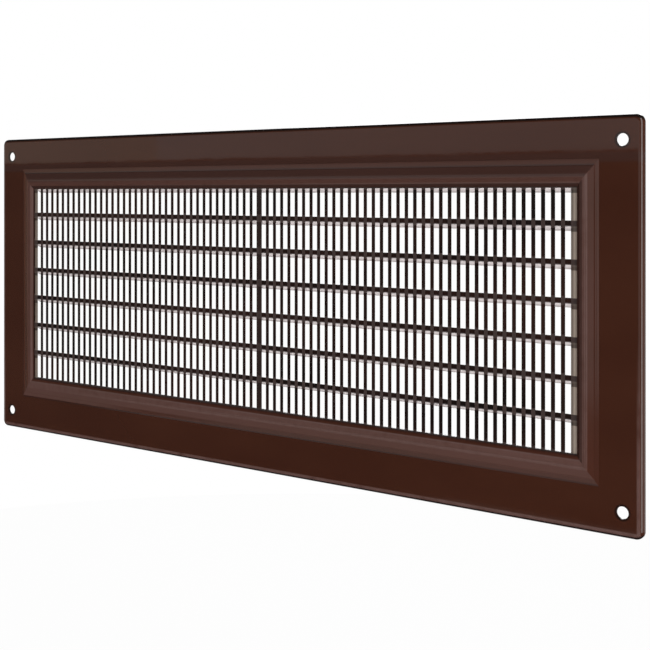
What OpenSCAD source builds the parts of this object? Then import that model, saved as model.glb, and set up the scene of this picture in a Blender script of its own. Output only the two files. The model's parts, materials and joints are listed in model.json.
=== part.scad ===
// Wall ventilation grille: a screwed-on flange, a raised bezel ring that snaps into it,
// and two grid halves trapped between them. The wall is the plane y = 0, the front faces -Y.

/* [Flange] */
// Overall width of the flange
plate_w = 350; // [200:1:600]
// Overall height of the flange
plate_h = 150; // [110:1:400]
// Height of the flange face above the wall
plate_t = 3; // [3:0.1:6]
// Thickness of the moulded wall
wall_t = 1.8; // [1.2:0.1:2]
// Radius of the flange's outer corners
corner_r = 3; // [2.2:0.1:6]
// Radius that rolls the front edge over
edge_r = 1.6; // [0.5:0.1:2.2]
// Bevel round the back edge, next to the wall
back_bevel = 0.4; // [0.1:0.1:0.6]
// Width of the rim that meets the wall
rim_w = 1.6; // [1:0.1:3]
// Mean width of the flange, from its edge to the foot of the bezel
flange_w = 16.3; // [14:0.1:30]
// How far the bezel and the grid sit above the middle of the flange
insert_rise = 0.7; // [0:0.1:1.5]

/* [Screw holes] */
// Diameter of each screw hole
hole_d = 4.5; // [3:0.1:5.5]
// Distance from the side edge to a hole's centre
hole_inset_x = 7.5; // [7:0.1:9]
// Distance from the top or bottom edge to a hole's centre
hole_inset_z = 9; // [7:0.1:9.5]
// Thickness of the lip left round each hole
hole_lip = 0.7; // [0.6:0.1:1.2]
// Diameter of the recess behind each hole
recess_d = 9; // [7.5:0.1:10]
// Width of the post beside each hole that bears on the wall
post_w = 1.6; // [1.2:0.1:3]

/* [Back of the flange] */
// How far the spigot reaches into the wall opening
spigot_len = 3; // [1:0.1:12]
// Thickness of the spigot
spigot_t = 1.5; // [1:0.1:1.8]
// Step from the foot of the bezel in to the spigot's outer face
spigot_inset = 0.4; // [0:0.1:0.6]
// Thickness of the ledge that carries the grids
ledge_t = 1.2; // [0.8:0.1:1.6]
// Width of the ledge
ledge_w = 4.6; // [3.6:0.1:5]
// Thickness of the stiffening ribs
rib_t = 1.2; // [0.8:0.1:2]
// Distance aimed at between two ribs
rib_pitch = 42; // [20:1:80]
// Gap between a rib and the wall
rib_gap = 0.3; // [0.1:0.1:0.8]

/* [Bezel] */
// Width of the bezel at the sides, from its foot to the grid opening
bezel_side_w = 8.4; // [7:0.1:14]
// Width of the bezel at the top and bottom, where its section is drawn out wider
bezel_top_w = 10; // [7:0.1:14]
// Height of the bezel's crest above the flange
crest_h = 1.05; // [0.9:0.05:4]
// Height of the gentle shelf at the foot, at its inner end
shelf_h = 0.3; // [0.15:0.05:0.8]
// Width of the shelf, at the sides
shelf_w = 1.9; // [0.6:0.05:2]
// Width of the rounded crest, at the sides
crest_w = 2.8; // [1.5:0.1:3.2]
// Width of the slope from the crest down to the opening, at the sides
drop_w = 1.5; // [1:0.1:2.2]
// Height of the opening's edge above the flange
lip_h = 0.25; // [0.1:0.05:0.7]
// How far the grid's face lies behind the flange's face
grid_recess = 0.5; // [0.3:0.1:0.8]
// Thickness of the skirt that goes into the flange
skirt_t = 1.6; // [1:0.1:1.8]
// Width of one snap tab
tab_w = 8; // [5:0.5:14]
// Thickness of one snap tab
tab_t = 1.4; // [1:0.1:1.6]
// How far a tab hooks behind the ledge
barb = 0.8; // [0.5:0.1:1]
// Distance aimed at between two snap tabs
tab_pitch = 75; // [50:5:150]

/* [Grid] */
// Width of a fin at its front
fin_w = 1.7; // [1:0.05:2.2]
// Width of a fin at its back
fin_back_w = 0.45; // [0.3:0.05:0.9]
// Depth of a fin
fin_d = 0.7; // [0.5:0.05:1]
// Distance aimed at between two fins
fin_pitch = 4; // [3:0.1:8]
// Height of a cross bar at its front
bar_h = 2.2; // [1.4:0.1:4]
// Distance aimed at between two cross bars
bar_pitch = 14; // [9:0.5:24]
// Depth of a cross bar
bar_d = 4; // [2:0.1:5]
// How far a cross bar's underside drops from front to back
bar_drop = 1.76; // [0.5:0.02:3]
// Thickness of a cross bar at its back
bar_back_h = 1.36; // [0.8:0.02:2]
// How far a cross bar's front lies behind the fins' front
bar_setback = 0.2; // [0.1:0.05:0.4]
// Width of the double bar in the middle
centre_w = 3; // [2:0.1:5]
// Depth of the double bar in the middle
centre_d = 0.85; // [0.5:0.05:1.1]
// Width of the grid's flat margin at its ends
land_x = 2.7; // [1:0.1:6]
// Height of the grid's flat margin at its top and bottom
land_z = 0.45; // [0.2:0.05:6]
// How far the grid's frame flares away from the slots behind its face
slot_flare = 1.5; // [0:0.1:2]
// Reach of a finger that laps over the other half
finger_reach = 4; // [2:0.5:8]
// Thickness of a finger
finger_t = 0.8; // [0.5:0.1:1]

/* [Fits] */
// Gap round a piece that drops into another
fit = 0.1; // [0.05:0.05:0.3]
// Gap round the grids, so that they can move with heat
grid_fit = 0.2; // [0.1:0.05:0.4]

/* [Hidden] */
BROWN = "#3a1c14";
$fn = 48;
EPS = 0.01;

// Depths, measured from the wall
flange_front = -plate_t;
flange_back = wall_t - plate_t;
lip_back = hole_lip - plate_t;
grid_front = grid_recess - plate_t;
grid_back = flange_back;
ledge_back = flange_back + ledge_t;
skirt_end = flange_back - grid_fit;

// Sizes across the front
hollow_size = [plate_w - 2 * rim_w, plate_h - 2 * rim_w];
bezel_size = [plate_w - 2 * flange_w, plate_h - 2 * flange_w];
open_size = [bezel_size.x - 2 * bezel_side_w, bezel_size.y - 2 * bezel_top_w];
spigot_size = [bezel_size.x - 2 * spigot_inset, bezel_size.y - 2 * spigot_inset];
hatch_inset = spigot_inset + spigot_t;
hatch_size = [bezel_size.x - 2 * hatch_inset, bezel_size.y - 2 * hatch_inset];
skirt_out = hatch_inset + fit;
skirt_size = [bezel_size.x - 2 * skirt_out, bezel_size.y - 2 * skirt_out];
pocket_size = [skirt_size.x - 2 * skirt_t, skirt_size.y - 2 * skirt_t];
grid_size = [pocket_size.x - 2 * grid_fit, pocket_size.y - 2 * grid_fit];

// The field of slots: half its width holds whole fins, its height whole cross bars
field = [open_size.x - 2 * land_x, open_size.y - 2 * land_z];
half_field = field.x / 2 - centre_w / 2;
slots = round((half_field + fin_w) / fin_pitch);
fin_step = (half_field + fin_w) / slots;
rows = round((field.y + bar_h) / bar_pitch);
bar_step = (field.y + bar_h) / rows;
bar_front = grid_front + bar_setback;
bar_back = bar_front + bar_d;
bar_end = open_size.x / 2 - fit;

// Points of a curve from [0, 0] to [w, h]: a power above 1 is hollow, below 1 is full
function sweep_curve(w, h, power, steps) =
    [for (i = [0 : steps]) [w * i / steps, h * pow(i / steps, power)]];

// Points of half a sine wave of width w and height h, from its left end to its right end
function dome(w, h, steps) =
    [for (i = [0 : steps]) [w * i / steps, h * sin(180 * i / steps)]];

// Points shifted along the bezel's width, with heights turned into depths in front of the flange
function placed(points, along, height) =
    [for (p = points) [p.x + along, flange_front - height - p.y]];

// Points drawn out along the bezel's width
function drawn_out(points, factor) = [for (p = points) [p.x * factor, p.y]];

// A box that is centred in X and Z and lies between two depths
module slab(size, front, back) {
    translate([-size.x / 2, front, -size.y / 2])
        cube([size.x, back - front, size.y]);
}

// A flat rectangular ring between two depths
module ring(outer, inner, front, back) {
    difference() {
        slab(outer, front, back);
        slab(inner, front - EPS, back + EPS);
    }
}

// A profile of [distance inwards, depth] carried along the lower side of a rectangle. Its mitres
// run inwards from the corners by the given reach along X and Z
module mitred_side(size, reach) {
    intersection() {
        translate([0, 0, -size.y / 2])
            rotate([0, -90, 0])
                linear_extrude(size.x, center = true)
                    children();
        rotate([90, 0, 0])
            linear_extrude(4 * (plate_t + crest_h), center = true)
                polygon([
                    [-size.x / 2, -size.y / 2],
                    [size.x / 2, -size.y / 2],
                    [size.x / 2 - reach.x, reach.y - size.y / 2],
                    [reach.x - size.x / 2, reach.y - size.y / 2]
                ]);
    }
}

// Places children on each of the four sides, spaced evenly, with X along the side's outer edge
module along_sides(size, pitch) {
    for (side = [0 : 3]) {
        len = side % 2 == 0 ? size.x : size.y;
        across = side % 2 == 0 ? size.y : size.x;
        count = max(1, round(len / pitch));
        for (i = [0 : count - 1])
            rotate([0, 90 * side, 0])
                translate([(i + 0.5) * len / count - len / 2, 0, -across / 2])
                    children();
    }
}

// The flange's outer edge, seen in section from the edge inwards
module rim_profile() {
    difference() {
        union() {
            translate([edge_r, flange_front])
                square([corner_r - edge_r + EPS, plate_t]);
            translate([0, flange_front + edge_r])
                square([corner_r + EPS, plate_t - edge_r]);
            translate([edge_r, flange_front + edge_r])
                circle(edge_r);
        }
        polygon([[-EPS, -back_bevel - EPS], [back_bevel + EPS, EPS], [-EPS, EPS]]);
    }
}

// A plate with rounded corners whose front edge is rolled over all round
module rolled_plate() {
    straight = [plate_w - 2 * corner_r, plate_h - 2 * corner_r];
    slab(straight, flange_front, 0);
    for (side = [0 : 3])
        rotate([0, 90 * side, 0])
            translate([0, 0, -(side % 2 == 0 ? plate_h : plate_w) / 2])
                rotate([0, -90, 0])
                    linear_extrude(side % 2 == 0 ? straight.x : straight.y, center = true)
                        rim_profile();
    for (x = [-1, 1], z = [-1, 1])
        translate([x * straight.x / 2, 0, z * straight.y / 2])
            rotate([-90, 0, 0])
                rotate_extrude()
                    intersection() {
                        translate([corner_r, 0])
                            mirror([1, 0])
                                rim_profile();
                        translate([0, flange_front])
                            square([corner_r, plate_t]);
                    }
}

// Places children at the four screw holes, with Y towards the flange's middle and Z towards the wall
module at_holes() {
    for (x = [-1, 1], z = [-1, 1])
        translate([x * (plate_w / 2 - hole_inset_x), 0, z * (plate_h / 2 - hole_inset_z)])
            rotate([-90, z < 0 ? 180 : 0, 0])
                children();
}

// Ribs that stiffen the hollow back, from the spigot out to the rim
module back_ribs() {
    rib_len = flange_w + spigot_inset + insert_rise;
    intersection() {
        slab([hollow_size.x + EPS, hollow_size.y + EPS], flange_back - EPS, -rib_gap);
        translate([0, 0, insert_rise])
            along_sides(spigot_size, rib_pitch)
                translate([-rib_t / 2, flange_back - 1, -rib_len])
                    cube([rib_t, wall_t + plate_t, rib_len + EPS]);
    }
}

// A post beside a screw hole, on the side towards the middle. It bears on the wall
module hole_post() {
    intersection() {
        translate([0, 0, lip_back - EPS])
            cylinder(d = recess_d, h = -lip_back + EPS);
        translate([-post_w / 2, 0, lip_back - EPS])
            cube([post_w, recess_d, -lip_back + EPS]);
    }
}

// The ledge behind the grids, notched where the bezel's tabs pass
module grid_ledge() {
    inner = [hatch_size.x - 2 * ledge_w, hatch_size.y - 2 * ledge_w];
    difference() {
        ring([hatch_size.x + EPS, hatch_size.y + EPS], inner, flange_back, ledge_back);
        along_sides(bezel_size, tab_pitch)
            translate([-tab_w / 2 - grid_fit, flange_back - 1, hatch_inset])
                cube([tab_w + 2 * grid_fit, ledge_t + 2, tab_t + 2 * fit]);
    }
}

module wall_flange() {
    color(BROWN)
        difference() {
            union() {
                difference() {
                    rolled_plate();
                    difference() {
                        slab(hollow_size, flange_back, 1);
                        translate([0, 0, insert_rise])
                            slab(spigot_size, flange_back - 1, 2);
                    }
                    translate([0, 0, insert_rise])
                        slab(hatch_size, flange_front - 1, 1);
                    at_holes()
                        translate([0, 0, lip_back])
                            cylinder(d = recess_d, h = 1 - lip_back);
                }
                translate([0, 0, insert_rise]) {
                    ring(spigot_size, hatch_size, flange_back, spigot_len);
                    grid_ledge();
                }
                back_ribs();
                at_holes()
                    hole_post();
            }
            at_holes()
                translate([0, 0, flange_front - 1])
                    cylinder(d = hole_d, h = plate_t + 2);
        }
}

// The bezel's face in section: shelf, slanted face, crest and the slope down to the opening
module bezel_profile(width) {
    face_w = bezel_side_w - shelf_w - crest_w - drop_w;
    shelf_foot_h = shelf_h * 0.4;
    crest_foot_h = crest_h * 0.85;
    shelf_curve = sweep_curve(shelf_w, shelf_h - shelf_foot_h, 0.85, 4);
    face_curve = sweep_curve(face_w, crest_foot_h - shelf_h, 1.1, 5);
    crest_curve = dome(crest_w, crest_h - crest_foot_h, 10);
    drop_curve = [for (p = sweep_curve(drop_w, crest_foot_h - lip_h, 1.2, 5)) [p.x, -p.y]];
    polygon(drawn_out(concat(
        [[0, flange_front]],
        placed(shelf_curve, 0, shelf_foot_h),
        placed(face_curve, shelf_w, shelf_h),
        placed(crest_curve, shelf_w + face_w, crest_foot_h),
        placed(drop_curve, bezel_side_w - drop_w, crest_foot_h),
        [[bezel_side_w, flange_front]]
    ), width / bezel_side_w));
}

// The bezel's face: four sides that meet in mitres from corner to corner
module bezel_face() {
    for (side = [0 : 3])
        rotate([0, 90 * side, 0])
            if (side % 2 == 0)
                mitred_side(bezel_size, [bezel_side_w, bezel_top_w])
                    bezel_profile(bezel_top_w);
            else
                mitred_side([bezel_size.y, bezel_size.x], [bezel_top_w, bezel_side_w])
                    bezel_profile(bezel_side_w);
}

// One snap tab, which runs back from the skirt and hooks behind the ledge
module snap_tab() {
    catch = ledge_back + fit;
    hook_end = catch + barb;
    rotate([0, -90, 0])
        linear_extrude(tab_w, center = true)
            polygon([
                [skirt_out, skirt_end - grid_fit],
                [skirt_out + tab_t, skirt_end - grid_fit],
                [skirt_out + tab_t, catch],
                [skirt_out + tab_t + barb, catch],
                [skirt_out + tab_t, hook_end],
                [skirt_out, hook_end]
            ]);
}

module bezel_ring() {
    color(BROWN)
        translate([0, 0, insert_rise]) {
            bezel_face();
            ring(skirt_size, open_size, flange_front - EPS, grid_front);
            ring(skirt_size, pocket_size, grid_front - EPS, skirt_end);
            along_sides(bezel_size, tab_pitch)
                snap_tab();
        }
}

// A fin or half the double bar: wide in front and narrow behind, standing along Z
module upright(front_w, back_w, depth) {
    translate([0, 0, -field.y / 2 - land_z / 2])
        linear_extrude(field.y + land_z)
            polygon([
                [-front_w / 2, grid_front],
                [front_w / 2, grid_front],
                [back_w / 2, grid_front + depth],
                [-back_w / 2, grid_front + depth]
            ]);
}

// A cross bar in section: its underside drops towards the back, like a louvre
module bar_profile() {
    polygon([
        [0, bar_front],
        [-bar_h, bar_front],
        [-bar_h - bar_drop, bar_back],
        [bar_back_h - bar_h - bar_drop, bar_back]
    ]);
}

// The finger behind a cross bar that laps over the other half's bar
module lap_finger() {
    translate([-finger_reach, bar_back - EPS, -bar_h - bar_drop])
        cube([2 * finger_reach - fit, finger_t + EPS, bar_back_h]);
}

// The frame round one half's slots. It flares towards the back, clear of the end slots
module grid_frame(edge_x) {
    flare_x = field.x / 2 + slot_flare;
    difference() {
        translate([-grid_size.x / 2, grid_front, -grid_size.y / 2])
            cube([grid_size.x / 2 - edge_x, grid_back - grid_front, grid_size.y]);
        translate([0, 0, -field.y / 2])
            linear_extrude(field.y)
                polygon([
                    [-field.x / 2, grid_front - EPS],
                    [field.x / 2, grid_front - EPS],
                    [flare_x, grid_back + EPS],
                    [-flare_x, grid_back + EPS]
                ]);
    }
}

// The left half of the grid. Every second bar has a finger, starting with the bar numbered first
module grid_half(first_finger) {
    edge_x = fit / 2;
    grid_frame(edge_x);
    for (i = [1 : slots - 1])
        translate([-field.x / 2 + i * fin_step - fin_w / 2, 0, 0])
            upright(fin_w, fin_back_w, fin_d);
    intersection() {
        upright(centre_w, centre_w / 2, centre_d);
        translate([-centre_w, 2 * grid_front, -plate_h / 2])
            cube([centre_w - edge_x, -2 * grid_front, plate_h]);
    }
    for (i = [0 : rows - 1])
        translate([0, 0, field.y / 2 + bar_h - i * bar_step]) {
            translate([-(bar_end + edge_x) / 2, 0, 0])
                rotate([0, -90, 0])
                    linear_extrude(bar_end - edge_x, center = true)
                        bar_profile();
            if (i % 2 == first_finger)
                lap_finger();
        }
}

module left_grid() {
    color(BROWN)
        translate([0, 0, insert_rise])
            grid_half(0);
}

module right_grid() {
    color(BROWN)
        translate([0, 0, insert_rise])
            mirror([1, 0, 0])
                grid_half(1);
}

wall_flange();
bezel_ring();
left_grid();
right_grid();
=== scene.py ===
import json
import math

import bpy
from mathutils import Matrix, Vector


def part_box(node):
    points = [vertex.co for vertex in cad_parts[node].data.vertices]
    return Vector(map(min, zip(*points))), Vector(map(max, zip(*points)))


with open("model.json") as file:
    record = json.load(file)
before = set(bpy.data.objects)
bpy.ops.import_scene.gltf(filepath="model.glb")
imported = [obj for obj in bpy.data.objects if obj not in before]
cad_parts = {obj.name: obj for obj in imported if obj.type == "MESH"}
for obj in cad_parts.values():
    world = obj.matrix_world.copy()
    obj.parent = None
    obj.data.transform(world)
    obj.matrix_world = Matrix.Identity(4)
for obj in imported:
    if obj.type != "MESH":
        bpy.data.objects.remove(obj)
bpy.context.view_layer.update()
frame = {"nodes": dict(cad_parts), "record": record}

MM = 0.001

# Camera, fitted to the screw holes, the outer corners and the slots
PICTURE_SIDE = 650
CAMERA_PLACE = Vector((333.9, -402.13, 46.97)) * MM
CAMERA_TURN = math.radians(36.704)
FOCAL_PIXELS = 1186.74
HORIZON_ROW = 193.24
SENSOR_WIDTH = 36.0
NEAREST_SEEN = 0.01

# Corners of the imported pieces
FLANGE_LOW, FLANGE_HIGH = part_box("wall_flange")
RING_LOW, RING_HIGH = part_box("bezel_ring")
GRID_LOW, GRID_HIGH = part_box("left_grid")

# Screw holes, placed from the middle of the flange
MOUNTS = {mount["name"]: mount for mount in frame["record"]["mounts"]}
SCREW_HOLES = MOUNTS["screw_holes"]["dims"]
HOLE_X = SCREW_HOLES["spacing_x_mm"] / 2 * MM
HOLE_Z = SCREW_HOLES["spacing_y_mm"] / 2 * MM
HOLE_RADIUS = SCREW_HOLES["hole_r_mm"] * MM

# Bezel, and the shares of its width at which its shelf, slanted face and crest end
RING_MIDDLE_Z = (RING_LOW.z + RING_HIGH.z) / 2
BEZEL_SIDE_WIDTH = 8.4 * MM
BEZEL_TOP_WIDTH = 10.0 * MM
SHELF_WIDTH = 1.9 * MM
FACE_WIDTH = 2.2 * MM
CREST_WIDTH = 2.8 * MM
SHELF_END = SHELF_WIDTH / BEZEL_SIDE_WIDTH
FACE_END = SHELF_END + FACE_WIDTH / BEZEL_SIDE_WIDTH
CREST_END = FACE_END + CREST_WIDTH / BEZEL_SIDE_WIDTH
LIP_HEIGHT = 0.25 * MM

# Grid: the lands round the field of slots, and the cross bars
LAND_WIDTH = 2.7 * MM
LAND_HEIGHT = 0.45 * MM
OPEN_HALF_WIDTH = RING_HIGH.x - BEZEL_SIDE_WIDTH
SLOT_HALF_WIDTH = OPEN_HALF_WIDTH - LAND_WIDTH
FIELD_TOP = RING_HIGH.z - BEZEL_TOP_WIDTH - LAND_HEIGHT
ROWS = 7
BAR_HEIGHT = 2.2 * MM
BAR_DROP = 1.76 * MM
BAR_STEP = (2 * (FIELD_TOP - RING_MIDDLE_Z) + BAR_HEIGHT) / ROWS
CENTRE_HALF_WIDTH = 1.5 * MM

# Plastic: the slow swell and the grain of its face, its flow marks and its scuffs
PLASTIC_IOR = 1.5
SWELL_SIZE = 22 * MM
GRAIN_SIZE = 3 * MM
GRAIN_SHARE = 0.15
RIPPLE_DEPTH = 0.05 * MM
RIPPLE_STRENGTH = 0.3
GRID_RIPPLE_STRENGTH = 0.18
FLOW_SIZE = 30 * MM
FLOW_STRETCH = (0.35, 1.0, 1.0)
FLANGE_SCUFF_SIZE = 5 * MM
SCUFF_SIZE = 4 * MM

# Roughness of each finish, and how much its scuffs add
FLANGE_ROUGHNESS, FLANGE_SCUFFING = 0.02, 0.02
BEZEL_ROUGHNESS, BEZEL_SCUFFING = 0.10, 0.06
GRID_ROUGHNESS, GRID_SCUFFING = 0.12, 0.08

# How strongly each painted mark shows, from 0 to 1, among them painted highlights, painted light,
# painted sheen and painted shade. Four numbers are for the bezel's left, right, bottom and top sides
LOW_RIM_HIGHLIGHT = 0.6
LEFT_RIM_HIGHLIGHT = 0.32
FLANGE_SHEEN = 0.4
TOP_EDGE_SHADE = 0.95
BOTTOM_EDGE_SHADE = 0.9
HOLE_SHADE = 0.7
CREST_HIGHLIGHT = (0.32, 0.48, 0.50, 0.26)
FACE_HIGHLIGHT = 0.35
SLOPE_HIGHLIGHT = 0.36
LEFT_FACE_LIGHT = 0.4
TOP_FACE_SHEEN = 0.48
DROP_SHADE = (0.0, 0.60, 0.42, 0.72)
HOLLOW_SHADE = 0.5
FOOT_SHADE = 0.6
MIDDLE_WEAR = 0.35
BAR_EDGE_HIGHLIGHT = 0.25
LEFT_LAND_DIMNESS = 0.46
RIGHT_LAND_DIMNESS = 0.55
UNDER_BAR_DIMNESS = 0.75
BACK_LINE_DIMNESS = 0.3

# Floor and room, and how brightly they show
FLOOR_RADIUS = 0.85
FLOOR_LEVEL = -0.3
STRIP_START, STRIP_END = 0.5, 0.73
STRIP_GLOW = 0.5
FLOOR_GLOW = 0.97
BEHIND_GLOW = 0.6
ROOM_LEVEL = 0.07

# Colours, as linear red, green and blue
WHITE = (1.0, 1.0, 1.0)
WARM_WHITE = (1.0, 0.88, 0.76)
DARK_BROWN = (0.038, 0.0105, 0.0050)
WARM_BROWN = (0.044, 0.0130, 0.0063)
BEZEL_BROWN = (0.052, 0.0160, 0.0095)
# Painted light, lighter and warmer, on the bezel's left face
LIT_FACE_BROWN = (0.100, 0.042, 0.025)
# Painted highlights on the flange's rim and on the bezel's crest, faces and slopes
HIGHLIGHT_BROWN = (0.140, 0.081, 0.072)
SHADE_BROWN = (0.020, 0.0068, 0.0045)
# Painted deep shade, near-black, on the grid and on the flange's rolled edges and round its holes
DEEP_SHADE_BROWN = (0.004, 0.0018, 0.0014)
# Painted sheen, paler and greyer, on the flange just above the bezel and on the bezel's top face
SHEEN_BROWN = (0.038, 0.022, 0.020)
CROSSING_BROWN = (0.046, 0.031, 0.028)
# Painted light on the grid's lands
LAND_LIGHT_COLOUR = (0.32, 0.26, 0.215)
# Painted light on the bars' undersides, and painted highlights on their lower edges
BAR_LIGHT_COLOUR = (0.88, 0.79, 0.785)
FLOOR_PAINT = (0.8, 0.8, 0.8)
# Painted shade: the floor's colour where the gloss shows it
MIRRORED_FLOOR_SHADE = (0.1, 0.1, 0.1)


class Value:
    """An output of a shader node. Arithmetic on it adds Math nodes to the same tree."""

    def __init__(self, tree, socket):
        self.tree = tree
        self.socket = socket

    def __add__(self, other):
        return self.tree.math("ADD", self, other)

    def __sub__(self, other):
        return self.tree.math("SUBTRACT", self, other)

    def __rsub__(self, other):
        return self.tree.math("SUBTRACT", other, self)

    def __mul__(self, other):
        return self.tree.math("MULTIPLY", self, other)

    def __truediv__(self, other):
        return self.tree.math("DIVIDE", self, other)

    def __rtruediv__(self, other):
        return self.tree.math("DIVIDE", other, self)

    def __abs__(self):
        return self.tree.math("ABSOLUTE", self)

    def min(self, other):
        return self.tree.math("MINIMUM", self, other)

    def max(self, other):
        return self.tree.math("MAXIMUM", self, other)

    def square_root(self):
        return self.tree.math("SQRT", self)

    def nearest_whole(self):
        return self.tree.math("ROUND", self)

    def ramp(self, low, high):
        """0 below low, 1 above high and a smooth step between. With low above high it falls."""
        settings = {"interpolation_type": "SMOOTHSTEP", "clamp": True}
        if low < high:
            return self.tree.node("ShaderNodeMapRange", settings, (self, low, high, 0.0, 1.0))[0]
        return self.tree.node("ShaderNodeMapRange", settings, (self, high, low, 1.0, 0.0))[0]

    def band(self, low, high, soft):
        """1 between low and high, falling to 0 over soft on either side."""
        return self.ramp(low - soft, low) * self.ramp(high + soft, high)

    __radd__ = __add__
    __rmul__ = __mul__


class Tree:
    """The nodes of one material or of the world."""

    def __init__(self, owner):
        owner.use_nodes = True
        self.nodes = owner.node_tree.nodes
        self.links = owner.node_tree.links
        self.nodes.clear()

    def node(self, kind, settings=None, inputs=()):
        """Adds a node, sets its settings, then feeds its inputs, given in order or by name."""
        node = self.nodes.new(kind)
        for name, setting in (settings or {}).items():
            setattr(node, name, setting)
        pairs = inputs.items() if isinstance(inputs, dict) else enumerate(inputs)
        for key, given in pairs:
            if isinstance(given, Value):
                self.links.new(given.socket, node.inputs[key])
            elif given is not None:
                node.inputs[key].default_value = given
        return [Value(self, output) for output in node.outputs]

    def math(self, operation, *inputs):
        """The result of one Math node."""
        return self.node("ShaderNodeMath", {"operation": operation}, inputs)[0]

    def parts(self, vector):
        """The X, Y and Z parts of a vector."""
        return self.node("ShaderNodeSeparateXYZ", None, (vector,))

    def place(self):
        """The Object coordinates and their three parts."""
        point = self.node("ShaderNodeTexCoord")[3]
        return point, *self.parts(point)

    def facing(self):
        """The three parts of the surface's own direction."""
        return self.parts(self.node("ShaderNodeNewGeometry")[1])

    def rays(self):
        """Two masks: rays from the camera, straight or through glass, and rays off a glossy face."""
        seen = self.node("ShaderNodeLightPath")
        camera_ray, glossy_ray, transmission_ray = seen[0], seen[3], seen[6]
        return camera_ray.max(transmission_ray), glossy_ray

    def noise(self, point, size, detail):
        """Cloudy noise about 0.5, whose lumps are about size metres wide."""
        inputs = {"Vector": point, "Scale": 1.0 / size, "Detail": detail}
        return self.node("ShaderNodeTexNoise", None, inputs)[0]

    def mix(self, share, first, second):
        """A colour between first and second."""
        inputs = {0: share, 6: self.colour(first), 7: self.colour(second)}
        return self.node("ShaderNodeMix", {"data_type": "RGBA"}, inputs)[2]

    @staticmethod
    def colour(given):
        """The four numbers that a socket takes for a written colour. A linked one stays as it is."""
        return given if isinstance(given, Value) else (*given, 1.0)


def distance_in(x, z, half_width, half_height):
    """How far a point lies inside a centred rectangle, measured to its nearest side."""
    return (half_width - abs(x)).min(half_height - abs(z))


def across_bezel(x, z):
    """How far across the bezel a point lies, from 0 at its foot to 1 at the grid opening, and
    whether it is on the left or right side (1) or at the top or bottom (0)."""
    from_side = (RING_HIGH.x - abs(x)) / BEZEL_SIDE_WIDTH
    from_top = (RING_HIGH.z - RING_MIDDLE_Z - abs(z - RING_MIDDLE_Z)) / BEZEL_TOP_WIDTH
    return from_side.min(from_top), (from_top - from_side).ramp(-0.02, 0.02)


def bezel_sides(x, z, upright):
    """Masks of the bezel's left, right, bottom and top sides, which add up to 1."""
    right = upright * x.ramp(-5 * MM, 5 * MM)
    bottom = z.ramp(5 * MM, -5 * MM) * (1 - upright)
    return upright - right, right, bottom, 1 - upright - bottom


def side_by_side(sides, strengths):
    """One strength for each of the bezel's four sides, with mitred seams between them."""
    return sum(side * strength for side, strength in zip(sides, strengths))


def below_nearest_bar(z):
    """How far a point lies below the middle of the nearest cross bar's front."""
    rows_down = (FIELD_TOP + BAR_HEIGHT / 2 - z) / BAR_STEP
    return (rows_down - rows_down.nearest_whole()) * BAR_STEP


def new_finish(name):
    """A new material and its tree."""
    material = bpy.data.materials.new(name)
    return material, Tree(material)


def finish_plastic(tree, point, colour, roughness, ripple=RIPPLE_STRENGTH):
    """Joins a colour and a roughness to glossy moulded plastic with a slow swell in its face."""
    swell = tree.noise(point, SWELL_SIZE, 1.0)
    grain = tree.noise(point, GRAIN_SIZE, 1.0)
    height = swell * (1 - GRAIN_SHARE) + grain * GRAIN_SHARE
    inputs = {"Strength": ripple, "Distance": RIPPLE_DEPTH, "Height": height}
    normal = tree.node("ShaderNodeBump", None, inputs)[0]
    surface = tree.node("ShaderNodeBsdfPrincipled", None, {
        "Base Color": colour,
        "Roughness": roughness,
        "IOR": PLASTIC_IOR,
        "Normal": normal,
    })[0]
    tree.node("ShaderNodeOutputMaterial", None, (surface,))


def brown_base(tree, point, dark, light):
    """Brown with faint cloudy flow marks, drawn out along the length of the mould."""
    stretch = {"operation": "MULTIPLY"}
    drawn_out = tree.node("ShaderNodeVectorMath", stretch, (point, FLOW_STRETCH))[0]
    flow = tree.noise(drawn_out, FLOW_SIZE, 3.0)
    return tree.mix(flow.ramp(0.3, 0.7), dark, light)


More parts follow.
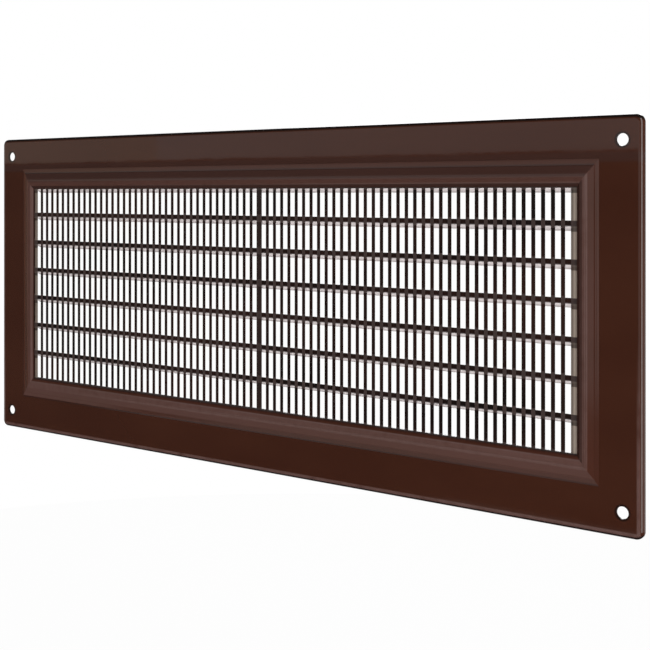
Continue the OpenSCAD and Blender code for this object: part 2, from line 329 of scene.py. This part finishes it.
def flange_plastic():
    """The flange: glossy, with a painted highlight along parts of its rim, a painted sheen just above
    the bezel, and painted shade on its rolled top and bottom edges and round its screw holes."""
    material, tree = new_finish("flange_plastic")
    point, x, _, z = tree.place()
    up = tree.facing()[2]
    scuffs = tree.noise(point, FLANGE_SCUFF_SIZE, 4.0)

    # A painted highlight runs along the rim at the bottom, the lower sides and the left edge
    edge = distance_in(x, z, FLANGE_HIGH.x, FLANGE_HIGH.z)
    low_rim_highlight = edge.band(1.2 * MM, 2.0 * MM, 0.5 * MM) * z.ramp(0.0, -60 * MM) * LOW_RIM_HIGHLIGHT
    from_left = x - FLANGE_LOW.x
    left_rim_highlight = from_left.band(0.5 * MM, 2.0 * MM, 0.4 * MM) * LEFT_RIM_HIGHLIGHT
    painted_rim_highlight = low_rim_highlight.max(left_rim_highlight) * scuffs.ramp(0.0, 0.6)

    # Just above the bezel the flange is painted paler and greyer, a painted sheen
    sheen_above_bezel = (z - RING_HIGH.z).band(-0.4 * MM, 1.6 * MM, 1.5 * MM) * FLANGE_SHEEN

    # Painted shade darkens the rolled edges where they turn up at the top and down at the bottom, and
    # round the screw holes
    top_edge = up.ramp(0.15, 0.5) * TOP_EDGE_SHADE
    bottom_edge = up.ramp(-0.2, -0.5) * BOTTOM_EDGE_SHADE
    offset_x = abs(x) - HOLE_X
    offset_z = abs(z) - HOLE_Z
    from_hole = (offset_x * offset_x + offset_z * offset_z).square_root() - HOLE_RADIUS
    hole_edge = from_hole.ramp(1.1 * MM, 0.4 * MM) * HOLE_SHADE

    colour = brown_base(tree, point, DARK_BROWN, WARM_BROWN)
    colour = tree.mix(painted_rim_highlight, colour, HIGHLIGHT_BROWN)
    colour = tree.mix(sheen_above_bezel, colour, SHEEN_BROWN)
    colour = tree.mix(top_edge.max(bottom_edge).max(hole_edge), colour, DEEP_SHADE_BROWN)
    finish_plastic(tree, point, colour, FLANGE_ROUGHNESS + scuffs * FLANGE_SCUFFING)
    return material


def bezel_plastic():
    """The bezel: its crest carries a painted highlight, and the steps down to the grid lie in painted
    shade.
    """
    material, tree = new_finish("bezel_plastic")
    point, x, y, z = tree.place()
    share, upright = across_bezel(x, z)
    sides = bezel_sides(x, z, upright)
    left, right, bottom, top = sides
    scuffs = tree.noise(point, SCUFF_SIZE, 4.0)

    # The crest's painted highlight lies further in at the top and at the lower end of the left side
    crest_share = share - top * 0.13 - left * z.ramp(0.0, -50 * MM) * 0.12
    crest = crest_share.band(FACE_END + 0.03, CREST_END + 0.02, 0.05) * scuffs.ramp(-0.4, 0.7)
    crest_highlight = crest * side_by_side(sides, CREST_HIGHLIGHT)

    # A painted highlight lies on the slanted face at the bottom, and near the left end on the shelf
    # too
    face = (share - bottom * 0.06).band(SHELF_END, FACE_END + 0.1, 0.1)
    shelf = share.band(0.1, SHELF_END, 0.05) * x.ramp(-60 * MM, -110 * MM)
    face_highlight = face.max(shelf) * bottom * FACE_HIGHLIGHT

    # The left side's inner slope carries the most painted highlight, less and over a narrower band
    # lower down
    lowness = z.ramp(45 * MM, -45 * MM)
    slope_start = share.ramp(CREST_END - 0.05, CREST_END + 0.03)
    slope_end = (share + lowness * 0.1).ramp(1.08, 0.98)
    slope_highlight = left * slope_start * slope_end * (1 - lowness * 0.3) * SLOPE_HIGHLIGHT

    # Painted light makes the left face lighter and warmer, twice as much at its upper end, and a
    # painted sheen makes the top face greyer
    left_face_light = left * face * (1 + z.ramp(-40 * MM, 40 * MM)) * LEFT_FACE_LIGHT
    top_face_sheen = top * face * TOP_FACE_SHEEN

    # Shade gathers on the opening's wall, the drop to it, the top's hollow and the bottom's foot
    wall_depth = y.ramp(FLANGE_LOW.y - LIP_HEIGHT, FLANGE_LOW.y - LIP_HEIGHT + 0.08 * MM)
    wall = share.ramp(0.9, 0.95) * wall_depth * (1 - left * 0.4)
    drop_share = share + right * 0.14 - bottom * 0.08
    drop = drop_share.ramp(0.85, 0.89) * side_by_side(sides, DROP_SHADE)
    hollow = share.band(SHELF_END - 0.04, SHELF_END + 0.02, 0.02) * top * HOLLOW_SHADE
    foot = share.ramp(0.1, 0.04) * bottom * FOOT_SHADE
    shade = wall.max(drop).max(hollow).max(foot)

    colour = brown_base(tree, point, WARM_BROWN, BEZEL_BROWN)
    colour = tree.mix(left_face_light, colour, LIT_FACE_BROWN)
    colour = tree.mix(crest_highlight.max(face_highlight) + slope_highlight, colour, HIGHLIGHT_BROWN)
    colour = tree.mix(top_face_sheen, colour, SHEEN_BROWN)
    colour = tree.mix(shade, colour, SHADE_BROWN)
    finish_plastic(tree, point, colour, BEZEL_ROUGHNESS + scuffs * BEZEL_SCUFFING)
    return material


def grid_plastic():
    """The grid: near-black fins, in painted shade, brown where they cross a bar, with lands beside
    the slots painted pale as painted light, and the bars' lower edges and undersides painted pale as
    painted highlights and painted light."""
    material, tree = new_finish("grid_plastic")
    point, x, y, z = tree.place()
    _, front, up = tree.facing()
    below_bar = below_nearest_bar(z)
    half_bar = BAR_HEIGHT / 2

    # The fins' fronts stand a little in front of the bars', and are browner where they cross them
    fronts = front.ramp(-0.9, -0.97)
    fin_faces = fronts * y.ramp(GRID_LOW.y + 0.12 * MM, GRID_LOW.y + 0.05 * MM)
    crossings = fin_faces * abs(below_bar).ramp(1.9 * MM, 1.5 * MM)
    middle = fin_faces * abs(x).ramp(CENTRE_HALF_WIDTH + 0.2 * MM, CENTRE_HALF_WIDTH)
    # Painted highlight: the bars' lower front edges are painted pale
    bar_edges = fronts * (1 - fin_faces) * below_bar.ramp(0.6 * MM, half_bar)

    # The lands are painted pale between the bars, a painted light, but less so on the left, next to
    # the slots on the right and just under each bar
    right = x.ramp(-100 * MM, 100 * MM)
    land_start = abs(x).ramp(SLOT_HALF_WIDTH - 0.2 * MM, SLOT_HALF_WIDTH)
    outwards = abs(x) - right * 0.6 * MM
    land_end = outwards.ramp(OPEN_HALF_WIDTH - 0.6 * MM, OPEN_HALF_WIDTH - 0.9 * MM)
    dim_left = (1 - right) * LEFT_LAND_DIMNESS
    beside_slots = x.ramp(SLOT_HALF_WIDTH + 1.2 * MM, SLOT_HALF_WIDTH + 0.8 * MM)
    dim_right = right * beside_slots * RIGHT_LAND_DIMNESS
    on_bar = abs(below_bar).ramp(half_bar + 0.1 * MM, half_bar - 0.2 * MM)
    under_bar = below_bar.band(half_bar, half_bar + BAR_DROP, 0.2 * MM)
    painted_land_light = (1 - dim_left - dim_right) * (1 - on_bar) * (1 - under_bar * UNDER_BAR_DIMNESS)
    lands = fronts * land_start * land_end * painted_land_light

    # The bars' slanted undersides face down and a little forwards, painted near-white as painted
    # light, a little brighter lower down, with a darker line at the back
    undersides = up.ramp(-0.8, -0.88) * front.ramp(-0.3, -0.38)
    lowness = z.ramp(GRID_HIGH.z, GRID_LOW.z)
    back_line = below_bar.ramp(half_bar + BAR_DROP * 0.5, half_bar + BAR_DROP * 0.8)
    undersides = undersides * (0.8 + lowness * 0.2) * (1 - back_line * BACK_LINE_DIMNESS)

    # Painted shade: the grid's base is a near-black, shaded copy of the plastic's brown
    colour = brown_base(tree, point, DEEP_SHADE_BROWN, SHADE_BROWN)
    colour = tree.mix(crossings.max(middle * MIDDLE_WEAR), colour, CROSSING_BROWN)
    colour = tree.mix(bar_edges * BAR_EDGE_HIGHLIGHT, colour, BAR_LIGHT_COLOUR)
    colour = tree.mix(lands, colour, LAND_LIGHT_COLOUR)
    colour = tree.mix(undersides, colour, BAR_LIGHT_COLOUR)
    roughness = GRID_ROUGHNESS + tree.noise(point, SCUFF_SIZE, 4.0) * GRID_SCUFFING
    finish_plastic(tree, point, colour, roughness, GRID_RIPPLE_STRENGTH)
    return material


def dress(node, material):
    """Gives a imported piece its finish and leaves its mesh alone."""
    slots = frame["nodes"][node].data.materials
    slots.clear()
    slots.append(material)


def white_ground():
    """A round white floor below the grille. It keeps the grille's soft shadow. The gloss shows only a
    pale strip of it, out in the room; elsewhere the gloss sees it painted dark, a painted shadow of
    the grille."""
    bpy.ops.mesh.primitive_circle_add(
        vertices=96, radius=FLOOR_RADIUS, fill_type="NGON", location=(0.0, 0.0, FLOOR_LEVEL))
    floor = bpy.context.object
    floor.name = "floor"
    material, tree = new_finish("white_ground")
    shown, glossy_ray = tree.rays()
    y = tree.place()[2]
    strip = abs(y).band(STRIP_START, STRIP_END, 0.05)
    # Painted shade: the gloss sees the floor painted dark grey
    paint_colour = tree.mix(glossy_ray, FLOOR_PAINT, MIRRORED_FLOOR_SHADE)
    paint = tree.node("ShaderNodeBsdfDiffuse", None, (paint_colour,))[0]
    glow = tree.node("ShaderNodeEmission", None, (tree.colour(WHITE), 1.0))[0]
    share = shown.max(glossy_ray * strip * STRIP_GLOW) * FLOOR_GLOW
    ground = tree.node("ShaderNodeMixShader", None, (share, paint, glow))[0]
    tree.node("ShaderNodeOutputMaterial", None, (ground,))
    floor.data.materials.append(material)


def white_surroundings():
    """White to the camera on all sides and in reflections from low behind; a dim studio elsewhere."""
    world = bpy.data.worlds.new("studio")
    bpy.context.scene.world = world
    tree = Tree(world)
    shown, glossy_ray = tree.rays()
    direction = tree.node("ShaderNodeTexCoord")[0]
    _, away, up = tree.parts(direction)
    behind = away.ramp(0.0, 0.3) * up.ramp(0.1, -0.2)
    shown = shown.max(glossy_ray * behind * BEHIND_GLOW)
    level = shown + (1 - shown) * ROOM_LEVEL
    sky = tree.node("ShaderNodeBackground", None, (tree.colour(WHITE), level))[0]
    tree.node("ShaderNodeOutputWorld", None, (sky,))


def softbox(name, place, width, height, radiance, target=(0.0, 0.0, 0.0), mirrored=True, tint=WHITE):
    """A flat rectangular lamp at place that faces target, as bright as a card of that radiance
    and of that tint. One that isn't mirrored gives soft light without showing in the gloss."""
    lamp = bpy.data.lights.new(name, "AREA")
    lamp.shape = "RECTANGLE"
    lamp.size = width
    lamp.size_y = height
    lamp.energy = radiance * width * height * math.pi
    lamp.color = tint
    holder = bpy.data.objects.new(name, lamp)
    holder.location = place
    holder.rotation_euler = (Vector(target) - Vector(place)).to_track_quat("-Z", "Y").to_euler()
    holder.visible_camera = False
    holder.visible_glossy = mirrored
    bpy.context.scene.collection.objects.link(holder)


def front_card(name, left, right, radiance, distance, level, height, tint=WHITE):
    """A softbox that reaches from left to right in X, square to the wall and in front of it, so
    that the gloss shows it as a clear band."""
    middle = (left + right) / 2
    softbox(name, place=(middle, -distance, level), width=right - left, height=height,
            radiance=radiance, target=(middle, 0.0, level), tint=tint)


def light_studio():
    """Soft light from all round, one key, and four cards in two rows that the gloss mirrors."""
    low_row = {"distance": 1.0, "level": 0.201, "height": 0.2}
    front_row = {"distance": 1.4, "level": 0.04, "height": 0.62}
    softbox("fill", place=(1.12, -0.94, 0.31), width=2.0, height=2.0, radiance=1.16, mirrored=False)
    softbox("table_light", place=(0.0, -0.1, -0.29), width=1.2, height=0.8, radiance=0.65,
            target=(0.0, -0.1, 0.0), mirrored=False)
    softbox("left_fill", place=(-0.6, -0.6, 0.0), width=0.6, height=0.8, radiance=0.85,
            target=(-0.1, 0.0, 0.0), mirrored=False)
    softbox("key", place=(1.36, -0.62, 0.31), width=0.9, height=2.0, radiance=3.4)
    front_card("low_band", left=-1.05, right=-0.205, radiance=0.49, **low_row)
    front_card("warm_band", left=-1.455, right=-1.05, radiance=0.5, tint=WARM_WHITE, **low_row)
    softbox("under_light", place=(0.05, 0.22, -0.22), width=0.9, height=0.4, radiance=3.0,
            target=(0.05, 0.0, 0.0), mirrored=False)
    front_card("front_band", left=-0.28, right=-0.04, radiance=0.63, **front_row)
    front_card("right_front_band", left=-0.04, right=0.5, radiance=0.52, **front_row)
    softbox("back_fill", place=(-0.5, 1.3, 0.7), width=1.0, height=1.0, radiance=4.0)


def aim_camera():
    """A level camera whose frame is shifted down, so that upright edges stay upright."""
    lens = bpy.data.cameras.new("camera")
    lens.sensor_width = SENSOR_WIDTH
    lens.lens = FOCAL_PIXELS * SENSOR_WIDTH / PICTURE_SIDE
    lens.shift_y = (HORIZON_ROW - PICTURE_SIDE / 2) / PICTURE_SIDE
    lens.clip_start = NEAREST_SEEN
    camera = bpy.data.objects.new("camera", lens)
    camera.location = CAMERA_PLACE
    camera.rotation_euler = (math.radians(90), 0.0, CAMERA_TURN)
    bpy.context.scene.collection.objects.link(camera)
    bpy.context.scene.camera = camera


aim_camera()
white_surroundings()
white_ground()
light_studio()

dress("wall_flange", flange_plastic())
dress("bezel_ring", bezel_plastic())
grid_finish = grid_plastic()
for half in ("left_grid", "right_grid"):
    dress(half, grid_finish)

bpy.context.scene.view_settings.view_transform = "Standard"
